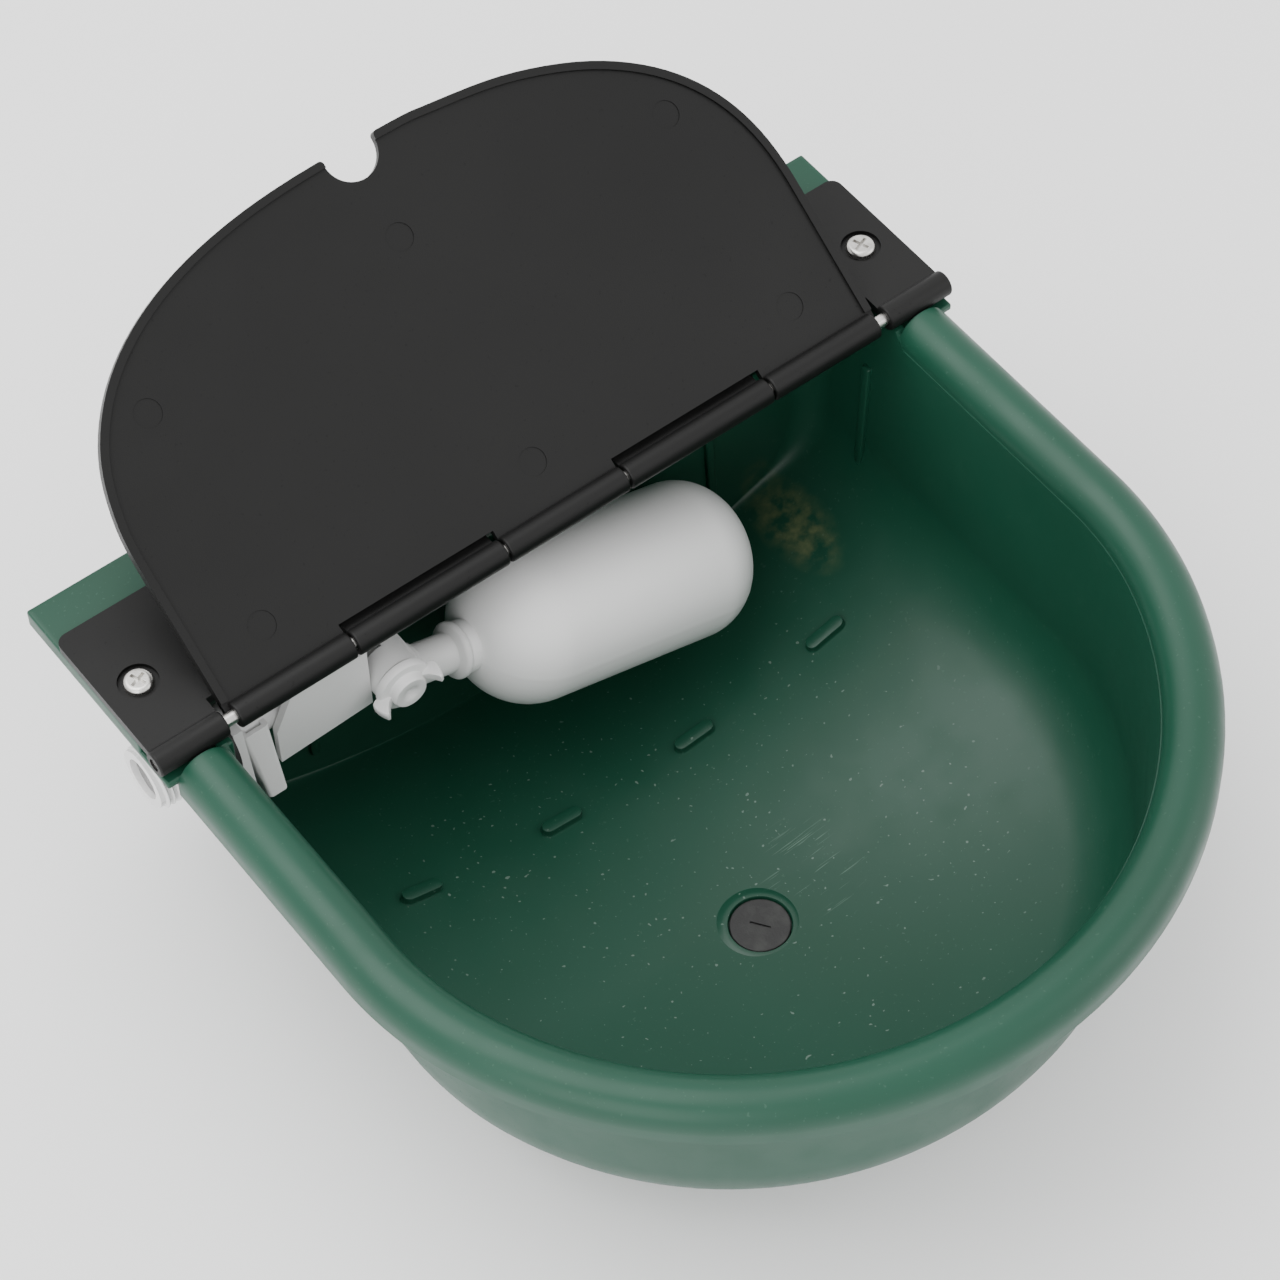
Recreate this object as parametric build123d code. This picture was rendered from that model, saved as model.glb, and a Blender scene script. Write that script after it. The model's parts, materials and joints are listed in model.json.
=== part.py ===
from build123d import *
import os
from math import asin, atan2, cos, degrees, hypot, pi, radians, sin, sqrt, tan

# Livestock water trough: a moulded bowl with a float valve under a hinged cover.
# Millimetres. Origin at the centre of the bowl's flat foot, X along the hinge,
# +Y towards the wall that the trough hangs on, +Z up. The drinking side is -Y.

# ---- driving dimensions -------------------------------------------------------------
hinge_y = 60.0            # hinge axis behind the foot's centre
hinge_z = 117.0           # hinge axis above the foot, level with the rim's top
hinge_half = 140.0        # half the hinge's length
rim_half = 127.4          # half-width to the middle of the rim's roll
rim_r = 8.7               # radius of the rim's roll
rim_front_y = hinge_y - 83.0   # where the straight sides turn into the front curve
rim_side_r = 107.4        # radius of the curve's two side arcs, at the roll's middle
front_centre_y = rim_front_y + 7.44
rim_front_r = rim_side_r + hypot(rim_half - rim_side_r, front_centre_y - rim_front_y)
wall_t = 3.0              # moulded wall
draft = 3.0               # degrees that the walls lean in
rim_drop = 13.0           # height of the roll's outer lip
channel_front = 4.7       # the channel for the knuckles starts this far before the hinge axis
channel_depth = 5.0
skirt_low = hinge_z - 7.5
cavity_back_y = hinge_y + 34.5
dish_r = 262.0            # radius of the dished floor
floor_z = hinge_z - 107.0
bowl_corner_r = 9.0       # upright corners beside the back wall
corner_r = 30.0           # floor to side wall
foot_r = 54.0
floor_turns = (0.75, 0.5, 0.3)   # shares of the dish at which its sections lie
roll_groove_half = 5.7
roll_groove_top = 6.0
flange_half = 139.2       # half-width of the shelf that the hinge plate is screwed to
flange_back_y = hinge_y + 67.0
flange_top = hinge_z - 1.0
flange_t = 3.0
skirt_t = 2.5
pocket_front_y = hinge_y + 11.0
back_plate_depth = 70.0
back_plate_t = 4.0
back_plate_half = 117.0   # narrower than the shelf, which hides it from the front
gusset_x = 70.0
gusset_t = 4.0
wall_hole_x = 100.0
wall_hole_z = hinge_z - 46.0
wall_hole_r = 4.5

drain_y = hinge_y - 90.0
drain_r = 8.8
drain_head_r = 9.5
drain_head_t = 3.0
plug_top = floor_z + 0.6
land_half = 12.5          # shallow square land round the drain
land_proud = 0.35
lip_r = 12.3
lip_proud = 0.9
pad_length = 14.0
pad_width = 4.2
pad_height = 2.6
pad_y = hinge_y - 25.5
pad_x = (25.2, 76.1)
guide_rib_y = hinge_y + 6.5
guide_rib_top = hinge_z - 28.0
guide_rib_low = hinge_z - 72.0

# hinge: seven knuckles on one pin
knuckle_r = 4.0
pin_r = 2.0
pin_run = 0.06            # running clearance of the cover's bores
end_knuckle_x = 117.0
cover_outer_x = 113.2
knuckle_split_a = 73.8
knuckle_split_b = 21.3
side_gap = 0.8             # between neighbouring knuckles
knuckle_round = 0.7       # on the knuckles' ends
plate_inset = 0.7         # the leaf ends this far inside the end knuckles
plate_top = hinge_z + 1.9
plate_back_y = hinge_y + 51.5
plate_front_y = hinge_y + 8.6
plate_corner_r = 3.5
screw_x = 128.4
screw_y = hinge_y + 25.1
screw_head_r = 4.4
screw_shank_r = 2.0
screw_recess = 1.2        # the heads sit in shallow round recesses
screw_recess_r = 6.0
web_low = hinge_z - 1.6   # the thin web from the leaf to its inner knuckles
web_top = hinge_z + 0.8

# cover
cover_half = 115.0
cover_straight = 45.0
cover_length = 121.0
cover_power = 2.5         # how square the cover's outline is
cover_under = -0.5        # underside, below the hinge axis in the cover's own frame
cover_t = 2.5
cover_open = 35.0         # degrees above level, leaning back
bead_w = 2.4
bead_h = 0.9
notch_half = 8.6
notch_depth = 10.5
notch_lip = 1.4
ejector_r = 4.25

# float valve
inlet_y = hinge_y + 10.5
inlet_z = hinge_z - 19.5
inlet_end_x = -139.5
thread_r = 10.48
thread_end_x = -131.5     # a shallow relief parts the free thread from the nut's
thread_relief_r = 9.3
nut_face_x = -131.0
inlet_bore_r = 6.5
side_pad_out = -123.0
side_pad_in = -116.5
side_pad_half = 14.0
locknut_r = 12.7
locknut_t = 8.0
nut_notches = 8
lever_half = 9.5          # to the outer faces of the lever's cheeks
cheek_t = 2.5
pivot_x = -92.0
pivot_z = hinge_z - 32.0
pivot_r = 1.5
pivot_run = 0.05          # running clearance of the body's bore round the lever pin
pin_cover = 0.8           # the front cheek closes over the pin's end
barrel_r = 4.6            # bore that the piston slides in
barrel_out_r = 6.6
nozzle_face_x = -97.5
valve_gap = 1.6           # how far the seal stands off its seat with the float down
heel_x = -84.0            # front of the lever's heel
heel_gap = 0.5
elbow_x = -61.0
elbow_z = hinge_z - 26.5
elbow_screw_r = 3.0
elbow_r = 8.0             # round boss under the wing screw
thumb_r = 8.7
wing_reach = 11.2         # from the screw's axis to the wings' outer corners
wing_rise = 8.0           # how far the wings stand forward of the disc's back
wing_tilt = 9.0
elbow_front_y = hinge_y - 1.5

# float
float_y = hinge_y + 6.0
float_r = 24.5
float_length = 100.0
float_droop = 16.5
float_start = (-34.2, hinge_z - 41.3)
float_shoulder = 23.5
float_end_round = 18.0
float_wall = 1.5
stem_r = 6.2
stem_back = 18.6          # where the stem enters the elbow's socket
stem_in = 6.0             # how far the stem goes into the bottle's neck
socket_length = 6.0       # the elbow's round socket
socket_r = 7.5


def rim_edges(offset, back_y):
    """The tangent lines and arcs of the mouth, from the right back round to the left back."""
    side_r = rim_side_r + offset
    front_r = rim_front_r + offset
    half = rim_half + offset
    centre_x = rim_half - rim_side_r
    turn = degrees(atan2(front_centre_y - rim_front_y, centre_x))
    return [
        Line((half, back_y), (half, rim_front_y)),
        CenterArc((centre_x, rim_front_y), side_r, 0, -turn),
        CenterArc((0, front_centre_y), front_r, -turn, 2 * turn - 180),
        CenterArc((-centre_x, rim_front_y), side_r, turn - 180, -turn),
        Line((-half, rim_front_y), (-half, back_y)),
    ]


def d_outline(offset, back_y, corner):
    """The trough's plan outline, moved out from the roll's middle line."""
    half = rim_half + offset
    corner_y = back_y - corner
    back = [
        CenterArc((corner - half, corner_y), corner, 180, -90),
        Line((corner - half, back_y), (half - corner, back_y)),
        CenterArc((half - corner, corner_y), corner, 90, -90),
    ]
    return make_face(Wire(rim_edges(offset, corner_y) + back))


def block(x0, x1, y0, y1, z0, z1):
    """A box between two corners."""
    size = Box(x1 - x0, y1 - y0, z1 - z0)
    return Pos((x0 + x1) / 2, (y0 + y1) / 2, (z0 + z1) / 2) * size


def rod_x(x0, x1, y, z, radius):
    """A round bar along X."""
    bar = Cylinder(radius, x1 - x0, rotation=(0, 90, 0))
    return Pos((x0 + x1) / 2, y, z) * bar


def knuckle(x0, x1, y, z):
    """One of the hinge's knuckles, softly rounded at both ends."""
    bar = rod_x(min(x0, x1), max(x0, x1), y, z, knuckle_r)
    return bar.fillet(knuckle_round, bar.edges().filter_by(GeomType.CIRCLE))


def rod_y(y0, y1, x, z, radius):
    """A round bar along Y."""
    bar = Cylinder(radius, y1 - y0, rotation=(90, 0, 0))
    return Pos(x, (y0 + y1) / 2, z) * bar


def rod_z(z0, z1, x, y, radius):
    """A round bar along Z."""
    return Pos(x, y, (z0 + z1) / 2) * Cylinder(radius, z1 - z0)


def wall_profile(skin):
    """How far the bowl's wall has come in at each depth, as (inset, height) pairs.

    A leaning wall runs into a rounded corner and then into the dished floor. A skin above
    zero gives the outside of the wall, that much thicker than the inside.
    """
    lean = radians(draft)
    middle = rim_half - rim_r
    dish_centre_z = floor_z + dish_r
    big = dish_r + skin
    small = corner_r + skin
    # the corner's centre is a corner radius from the wall's line and from the dish
    wall_inset = corner_r / cos(lean)
    depth = 0.0
    for _ in range(40):
        across = middle - wall_inset - depth * tan(lean)
        down = dish_centre_z - sqrt((dish_r - corner_r) ** 2 - across ** 2)
        depth = hinge_z - down
    centre_inset = middle - across
    centre_z = down
    floor_turn = atan2(across, dish_centre_z - centre_z)
    points = [(-skin, hinge_z)]
    steps = 8
    for i in range(steps + 1):
        turn = lean + (pi / 2 - floor_turn - lean) * i / steps
        points.append((centre_inset - small * cos(turn), centre_z - small * sin(turn)))
    for share in floor_turns:
        turn = floor_turn * share
        points.append((middle - big * sin(turn), dish_centre_z - big * cos(turn)))
    return points


def bowl_form(skin, top):
    """The bowl's inside, or with a skin its outside, as one closed form."""
    sections = []
    for inset, height in wall_profile(skin):
        back = cavity_back_y + skin - (hinge_z - height) * tan(radians(draft))
        face = d_outline(-rim_r - inset, back, bowl_corner_r + skin)
        sections.append(Pos(0, 0, height) * face)
    form = loft(sections, ruled=True)
    return form - block(-300, 300, -300, 300, top, top + 300)


bed_z = wall_profile(0)[-1][1]   # floor at the middle, where the drain sits


def top_circle(shape):
    """The highest round edge of a shape."""
    return shape.edges().filter_by(GeomType.CIRCLE).sort_by(Axis.Z)[-1]


def floor_height(x):
    """Height of the dished floor at a distance from the middle plane."""
    return floor_z + dish_r - sqrt(dish_r ** 2 - x ** 2)


def rim_roll():
    """The half-round roll round the bowl's mouth, hollow underneath."""
    start = hinge_y - channel_front
    plane = Plane(origin=(rim_half, start, hinge_z), x_dir=(1, 0, 0), z_dir=(0, -1, 0))
    middle = -rim_r
    lip = Polyline((rim_r, middle), (rim_r, -rim_drop), (roll_groove_half, -rim_drop),
                   (roll_groove_half, -roll_groove_top), (-roll_groove_half, -roll_groove_top),
                   (-roll_groove_half, -rim_drop), (-rim_r, -rim_drop), (-rim_r, middle))
    crown = ThreePointArc((-rim_r, middle), (0, 0), (rim_r, middle))
    section = make_face(Wire([crown] + list(lip.edges())))
    return sweep(plane * section, path=Wire(rim_edges(0, start)))


def shelf():
    """The flat shelf under the hinge plate, with its skirt, bosses and wall plate."""
    front = hinge_y - channel_front
    body = block(-flange_half, flange_half, front, flange_back_y, skirt_low, flange_top)
    body -= block(-200, 200, front - 1, plate_front_y + 1.0, hinge_z - channel_depth, hinge_z)
    pocket_half = flange_half - skirt_t
    body -= block(-pocket_half, pocket_half, pocket_front_y, flange_back_y - skirt_t,
                  skirt_low - 1, flange_top - flange_t)
    plate_low = hinge_z - back_plate_depth
    body += block(-back_plate_half, back_plate_half, flange_back_y - back_plate_t, flange_back_y,
                  plate_low, flange_top)
    for side in (-1, 1):
        rib = block(-gusset_t / 2, gusset_t / 2, cavity_back_y - 8.0, flange_back_y - 1.0,
                    plate_low, flange_top - 1.0)
        body += Pos(side * gusset_x, 0, 0) * rib
        body += rod_z(hinge_z - 9.5, flange_top - 1.0, side * screw_x, screw_y, 5.0)
    return body


def guide_ribs():
    """Upright ribs inside the valve chamber, on both side walls and the back wall."""
    ribs = []
    for side in (-1, 1):
        lean = Rot(0, side * draft, 0)
        rib_top = guide_rib_top if side > 0 else inlet_z - side_pad_half
        rib = block(-1.8, 1.8, -1.8, 1.8, guide_rib_low - hinge_z, rib_top - hinge_z)
        ribs.append(Pos(side * (rim_half - rim_r), guide_rib_y, hinge_z) * lean * rib)
        back_rib = block(-1.5, 1.5, -1.6, 1.8, -86.0, -38.0)
        ribs.append(Pos(side * 75.0, cavity_back_y, hinge_z) * Rot(-draft, 0, 0) * back_rib)
    return ribs


def float_rests():
    """Four raised oblong rests on the floor, square to the dish."""
    rests = []
    for x in pad_x:
        for side in (-1, 1):
            tilt = degrees(asin(x / dish_r))
            seat = Pos(side * x, pad_y, floor_height(x)) * Rot(0, -side * tilt, 0)
            face = SlotOverall(pad_length, pad_width)
            rests.append(seat * Pos(0, 0, -3.0) * extrude(face, amount=3.0 + pad_height))
    return rests


def make_shell():
    """The green moulded bowl with its rim, shelf, foot and drain seat."""
    pad = block(side_pad_out, side_pad_in, inlet_y - side_pad_half, inlet_y + side_pad_half,
                inlet_z - side_pad_half, hinge_z - channel_depth - 0.5)
    roof = block(-300, 300, pocket_front_y, 300, flange_top - flange_t, 300)
    inside = bowl_form(0.0, hinge_z + 10.0) - roof - pad
    outside = bowl_form(wall_t, flange_top - flange_t)
    outside -= block(-300, 300, -300, hinge_y - channel_front, hinge_z - rim_r, 300)
    outside -= block(-300, 300, 0, pocket_front_y, skirt_low + 1.0, 300)
    body = outside + rim_roll() + shelf() + pad
    body += rod_z(0, floor_z + 2.0, 0, 0, foot_r)
    body -= inside
    body += block(-land_half, land_half, drain_y - land_half, drain_y + land_half,
                  bed_z - 1, bed_z + land_proud)
    body += rod_z(bed_z - 1, bed_z + lip_proud, 0, drain_y, lip_r)
    body += guide_ribs()
    body += float_rests()
    body -= rod_z(-1, bed_z + 5, 0, drain_y, drain_r)
    body -= rod_z(bed_z - drain_head_t, bed_z + 5, 0, drain_y, drain_head_r)
    body -= rod_x(side_pad_out - 20, side_pad_out, inlet_y, inlet_z, locknut_r + 0.9)
    body -= rod_x(side_pad_out - 10, side_pad_in + 5, inlet_y, inlet_z, thread_r + 0.3)
    for side in (-1, 1):
        body -= rod_z(hinge_z - 9.0, hinge_z + 5, side * screw_x, screw_y, screw_shank_r + 0.05)
        body -= rod_y(flange_back_y - 20, flange_back_y + 5, side * wall_hole_x, wall_hole_z, wall_hole_r)
    return body


def make_hinge_plate():
    """The fixed black leaf, with four of the hinge's knuckles."""
    half = hinge_half - plate_inset
    leaf = block(-half, half, plate_front_y, plate_back_y, flange_top, plate_top)
    back_corners = leaf.edges().filter_by(Axis.Z).sort_by(Axis.Y)[-2:]
    leaf = leaf.fillet(plate_corner_r, back_corners)
    gap = side_gap / 2
    web_back = plate_front_y + 1
    recess = plate_top - screw_recess
    for side in (-1, 1):
        ends = sorted((side * end_knuckle_x, side * half))
        leaf += block(ends[0], ends[1], hinge_y, web_back, flange_top, plate_top)
        leaf += knuckle(side * end_knuckle_x, side * hinge_half, hinge_y, hinge_z)
        inner = sorted((side * (knuckle_split_b + gap), side * (knuckle_split_a - gap)))
        leaf += block(inner[0] + knuckle_round, inner[1] - knuckle_round, hinge_y, web_back,
                      web_low, web_top)
        leaf += knuckle(inner[0], inner[1], hinge_y, hinge_z)
        leaf -= rod_z(recess, plate_top + 3, side * screw_x, screw_y, screw_recess_r)
        leaf -= rod_z(flange_top - 1, plate_top + 3, side * screw_x, screw_y, screw_shank_r + 0.3)
    return leaf - rod_x(-hinge_half - 1, hinge_half - 2, hinge_y, hinge_z, pin_r)


def make_hinge_pin():
    """The steel pin, open to view at its left end and in the two end gaps."""
    return rod_x(-hinge_half + 0.6, hinge_half - 2.2, hinge_y, hinge_z, pin_r)


def make_plate_screws():
    """Two cross-recess pan-head screws that hold the hinge plate down."""
    screws = []
    seat = plate_top - screw_recess
    for side in (-1, 1):
        head = rod_z(seat, seat + 2.2, side * screw_x, screw_y, screw_head_r)
        head = head.fillet(1.5, [top_circle(head)])
        slot = block(-2.6, 2.6, -0.5, 0.5, seat + 0.9, seat + 3)
        for turn in (20, 110):
            head -= Pos(side * screw_x, screw_y, 0) * Rot(0, 0, turn) * slot
        screws.append(head + rod_z(hinge_z - 8.8, seat, side * screw_x, screw_y, screw_shank_r))
    return Compound(children=screws)


def cover_outline(inset):
    """The cover's flat outline from the hinge to its crown."""
    half = cover_half - inset
    crown = cover_length - cover_straight - inset
    power = 2 / cover_power
    steps = 10
    right = []
    for i in range(steps + 1):
        turn = pi / 2 * i / steps
        right.append((half * abs(cos(turn)) ** power, cover_straight + crown * abs(sin(turn)) ** power))
    right[-1] = (0.0, cover_straight + crown)
    left = [(-x, y) for x, y in reversed(right)]
    edges = [
        Line((half, 0), right[0]),
        Spline(right, tangents=[(0, 1), (-1, 0)]),
        Spline(left, tangents=[(-1, 0), (0, -1)]),
        Line(left[-1], (-half, 0)),
        Line((-half, 0), (half, 0)),
    ]
    return make_face(Wire(edges))


def notched_outline():
    """The cover's outline with the finger notch at its crown."""
    middle = cover_length - notch_depth + notch_half
    face = cover_outline(0) - Pos(0, middle) * Circle(notch_half)
    face -= Pos(0, middle + 10) * Rectangle(2 * notch_half, 20)
    lips = [v for v in face.vertices() if abs(abs(v.X) - notch_half) < 0.01 and v.Y > middle + 0.5]
    return fillet(lips, notch_lip)


def make_cover():
    """The black cover with its edge bead, finger notch and three knuckles."""
    low = cover_under - cover_t
    leaf = extrude(Pos(0, 0, low) * notched_outline(), amount=cover_t)
    ring = extrude(Pos(0, 0, cover_under) * (cover_outline(0) - cover_outline(bead_w)), amount=bead_h)
    bead = ring & extrude(Pos(0, 0, cover_under) * notched_outline(), amount=bead_h)
    leaf += bead - block(-200, 200, -10, 4.5, -10, 10)
    for x, along in ((-93.2, 17.5), (0, 17.5), (93.2, 17.5), (-90, 83.8), (0, 91.4), (90, 83.8)):
        leaf -= rod_z(cover_under - 0.25, cover_under + 5, x, along, ejector_r)
    gap = side_gap / 2
    for side in (-1, 1):
        inner = sorted((side * (knuckle_split_b - gap), side * (knuckle_split_a + gap)))
        leaf -= block(inner[0], inner[1], -10, 6.6, -10, 10)
        leaf += knuckle(side * (knuckle_split_a + gap), side * cover_outer_x, 0, 0)
    leaf += knuckle(gap - knuckle_split_b, knuckle_split_b - gap, 0, 0)
    leaf -= rod_x(-200, 200, 0, 0, pin_r + pin_run)
    return Pos(0, hinge_y, hinge_z) * Rot(cover_open, 0, 0) * leaf


def make_valve_body():
    """The white valve body: threaded inlet, flange, nozzle barrel, pivot lug and wedge-shaped front."""
    wedge_top = Pos(-106.6, inlet_y, hinge_z - 16.0) * RectangleRounded(8.4, 17.0, 1.2)
    wedge_low = Pos(-106.3, inlet_y - 3.75, hinge_z - 38.0) * RectangleRounded(6.2, 24.5, 1.2)
    body = loft([wedge_top, wedge_low])
    body -= block(-109.2, -104.0, inlet_y - 7.2, inlet_y + 6.2, hinge_z - 27.0, hinge_z)
    body += rod_x(inlet_end_x, thread_end_x, inlet_y, inlet_z, thread_r)
    body += rod_x(thread_end_x, nut_face_x, inlet_y, inlet_z, thread_relief_r)
    body += rod_x(nut_face_x, -112.0, inlet_y, inlet_z, thread_r)
    flange = Polyline((inlet_y - 9.5, hinge_z - 10.0), (inlet_y + 13.0, hinge_z - 10.0),
                      (inlet_y + 13.0, hinge_z - 32.5), (inlet_y - 13.4, hinge_z - 32.5), close=True)
    flange = extrude(Plane.YZ.offset(-114.5) * make_face(flange), amount=3.1)
    body += flange + block(-112.0, -109.0, inlet_y - 6.0, inlet_y + 6.0, hinge_z - 32.5, hinge_z - 18.0)
    body += rod_x(-112.0, -88.0, inlet_y, inlet_z, barrel_out_r)
    body += block(-95.5, -88.5, inlet_y - 6.4, inlet_y + 6.4, pivot_z - 3.5, inlet_z)
    body -= rod_x(inlet_end_x - 1, -108.0, inlet_y, inlet_z, inlet_bore_r)
    body -= rod_x(-109.0, -80.0, inlet_y, inlet_z, barrel_r)
    body -= block(-98.3, -93.0, inlet_y - 2.2, inlet_y + 2.2, inlet_z - 9.0, inlet_z)
    return body - rod_y(0, inlet_y + 50, pivot_x, pivot_z, pivot_r + pivot_run)


def make_inlet_gasket():
    """The rubber washer between the valve's flange and the bowl's side."""
    return (rod_x(side_pad_in, -114.5, inlet_y, inlet_z, 12.8)
            - rod_x(-120, -110, inlet_y, inlet_z, thread_r + 0.1))


def make_inlet_locknut():
    """The round notched nut that clamps the valve from outside."""
    nut = rod_x(side_pad_out - locknut_t, side_pad_out, inlet_y, inlet_z, locknut_r)
    for i in range(nut_notches):
        notch = block(-locknut_t / 2, locknut_t / 2, -1.2, 1.2, locknut_r - 0.8, locknut_r + 1)
        turned = Rot(360 / nut_notches * i, 0, 0) * notch
        nut -= Pos(side_pad_out - locknut_t / 2, inlet_y, inlet_z) * turned
    return nut - rod_x(-140, -110, inlet_y, inlet_z, thread_r + 0.02)


def make_nozzle_insert():
    """The seat that the piston's rubber closes."""
    seat = rod_x(-104.5, -98.6, inlet_y, inlet_z, barrel_r)
    seat += rod_x(-98.6, nozzle_face_x, inlet_y, inlet_z, 3.0)
    return seat - rod_x(-110, -90, inlet_y, inlet_z, 1.75)


def make_piston():
    """The sliding piston with the tip that the lever's heel pushes."""
    front = nozzle_face_x + valve_gap + 2.0
    return (rod_x(front, -86.6, inlet_y, inlet_z, barrel_r - 0.12)
            + rod_x(-86.7, heel_x - heel_gap, inlet_y, inlet_z, 1.5))


def make_piston_seal():
    """The rubber disc on the piston's front."""
    front = nozzle_face_x + valve_gap
    return rod_x(front, front + 2.0, inlet_y, inlet_z, 3.9)


def make_lever_pin():
    """The steel pin that the float lever turns on."""
    front = inlet_y - lever_half + pin_cover
    return rod_y(front, inlet_y + lever_half + 1.7, pivot_x, pivot_z, pivot_r)


def make_pin_clip():
    """The push-on washer that keeps the lever pin in."""
    back = inlet_y + lever_half
    return (rod_y(back + 0.3, back + 1.1, pivot_x, pivot_z, 3.0)
            - rod_y(back - 1, back + 3, pivot_x, pivot_z, pivot_r))


def make_float_lever():
    """The white lever: two cheeks astride the nozzle, a heel and a tongue."""
    side = Polyline((-100.7, hinge_z - 35.2), (-69.0, hinge_z - 33.5), (-69.0, hinge_z - 9.0),
                    (-95.0, hinge_z - 9.0), (-100.7, hinge_z - 21.0), close=True)
    profile = make_face(side)
    lever = None
    for front in (inlet_y - lever_half, inlet_y + lever_half - cheek_t):
        upright = Plane(origin=(0, front + cheek_t, 0), x_dir=(1, 0, 0), z_dir=(0, -1, 0))
        cheek = extrude(upright * profile, amount=cheek_t)
        lever = cheek if lever is None else lever + cheek
    lever += block(heel_x, heel_x + 3.0, inlet_y - lever_half, inlet_y + lever_half,
                   hinge_z - 30.0, hinge_z - 10.0)
    lever += block(-72.0, -69.0, inlet_y - lever_half, inlet_y + lever_half, hinge_z - 32.5, hinge_z - 20.0)
    lever += block(-72.0, elbow_x, inlet_y - 3.8, inlet_y + 3.8, elbow_z - 5.6, elbow_z + 5.6)
    lever += rod_y(inlet_y - 3.8, inlet_y + 3.8, elbow_x, elbow_z, 5.6)
    blind = inlet_y - lever_half + pin_cover
    lever -= rod_y(blind, blind + 100, pivot_x, pivot_z, pivot_r + 0.06)
    return lever - rod_y(0, 200, elbow_x, elbow_z, elbow_screw_r + 0.08)


def float_plane(along):
    """A plane square to the float's axis, at a distance from the bottle's shoulder."""
    droop = radians(float_droop)
    x, z = float_start
    origin = (x + along * cos(droop), float_y, z - along * sin(droop))
    return Plane(origin=origin, x_dir=(0, 1, 0), z_dir=(cos(droop), 0, -sin(droop)))


def float_rod(start, end, radius):
    """A round bar on the float's axis."""
    return extrude(float_plane(start) * Circle(radius), amount=end - start)


def make_arm_elbow():
    """The forked elbow between lever and float, clamped by the wing screw."""
    front = elbow_front_y
    back = inlet_y + 7.4
    elbow = rod_y(front, back, elbow_x, elbow_z, elbow_r)
    elbow += block(elbow_x, elbow_x + 7.0, front + 0.8, back, elbow_z - elbow_r, elbow_z + 5.0)
    socket = float_rod(-stem_back - socket_length, -stem_back, socket_r)
    elbow += socket.fillet(1.0, [socket.edges().filter_by(GeomType.CIRCLE).sort_by(Axis.X)[-1]])
    elbow -= rod_y(inlet_y - 4.1, inlet_y + 4.1, elbow_x, elbow_z, 7.4)
    elbow -= block(elbow_x - 20, elbow_x, inlet_y - 4.1, inlet_y + 4.1, elbow_z - 20, elbow_z + 20)
    return elbow - rod_y(0, 200, elbow_x, elbow_z, elbow_screw_r + 0.08)


def make_wing_screw():
    """The thumb screw that clamps the elbow at its angle."""
    face = elbow_front_y - 0.2
    screw = rod_y(face - 3.0, face, elbow_x, elbow_z, thumb_r)
    cap = rod_y(face - 6.0, face - 3.0, elbow_x, elbow_z, 5.6)
    screw += cap - rod_y(face - 6.1, face - 5.0, elbow_x, elbow_z, 2.0)
    for turn in (0, 180):
        wing = block(5.0, wing_reach, face - wing_rise, face - 1.4, -1.4, 1.4)
        wing = wing.fillet(2.2, wing.edges().filter_by(Axis.Z).sort_by(Axis.Y)[:2])
        screw += Pos(elbow_x, 0, elbow_z) * Rot(0, turn - wing_tilt, 0) * wing
    return screw + rod_y(face, inlet_y + 13.5, elbow_x, elbow_z, elbow_screw_r)


def make_clamp_nut():
    """The nut behind the elbow that the wing screw pulls on."""
    back = inlet_y + 7.4
    face = Plane(origin=(elbow_x, back + 4.8, elbow_z), x_dir=(1, 0, 0), z_dir=(0, -1, 0))
    nut = extrude(face * RegularPolygon(5.8, 6), amount=4.8)
    return nut - rod_y(0, 200, elbow_x, elbow_z, elbow_screw_r + 0.05)


def make_float_stem():
    """The stem between the elbow's socket and the bottle's neck."""
    stem = float_rod(-stem_back, stem_in, stem_r)
    return stem + float_rod(-4.6, -2.4, stem_r + 1.4)


def make_float_bottle():
    """The hollow bottle float, blown with a rounded shoulder and a domed end."""
    neck_r = stem_r + 1.9
    bore_r = stem_r + 0.05
    shoulder_x = float_r - float_shoulder
    shoulder_y = float_shoulder
    end_y = float_length - float_end_round
    end_x = float_r - float_end_round

    def shoulder_point(radius, x):
        return (x, shoulder_y - sqrt(radius ** 2 - (x - shoulder_x) ** 2))

    inner_shoulder = float_shoulder - float_wall
    inner_end = float_end_round - float_wall
    out_start = shoulder_point(float_shoulder, neck_r)
    in_start = shoulder_point(inner_shoulder, bore_r)
    mid = radians(50)
    outer_mid = (shoulder_x + float_shoulder * sin(mid), shoulder_y - float_shoulder * cos(mid))
    inner_mid = (shoulder_x + inner_shoulder * sin(mid), shoulder_y - inner_shoulder * cos(mid))
    half_turn = sin(pi / 4)
    edges = [
        Line((bore_r, -2.4), (neck_r, -2.4)),
        Line((neck_r, -2.4), out_start),
        ThreePointArc(out_start, outer_mid, (float_r, shoulder_y)),
        Line((float_r, shoulder_y), (float_r, end_y)),
        ThreePointArc((float_r, end_y), (end_x + float_end_round * half_turn,
                                         end_y + float_end_round * half_turn), (end_x, float_length)),
        Line((end_x, float_length), (0, float_length)),
        Line((0, float_length), (0, float_length - float_wall)),
        Line((0, float_length - float_wall), (end_x, float_length - float_wall)),
        ThreePointArc((end_x, float_length - float_wall), (end_x + inner_end * half_turn,
                                                           end_y + inner_end * half_turn),
                      (float_r - float_wall, end_y)),
        Line((float_r - float_wall, end_y), (float_r - float_wall, shoulder_y)),
        ThreePointArc((float_r - float_wall, shoulder_y), inner_mid, in_start),
        Line(in_start, (bore_r, -2.4)),
    ]
    bottle = revolve(Plane.XZ * make_face(Wire(edges)), Axis.Z)
    return float_plane(0).location * bottle


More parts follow.
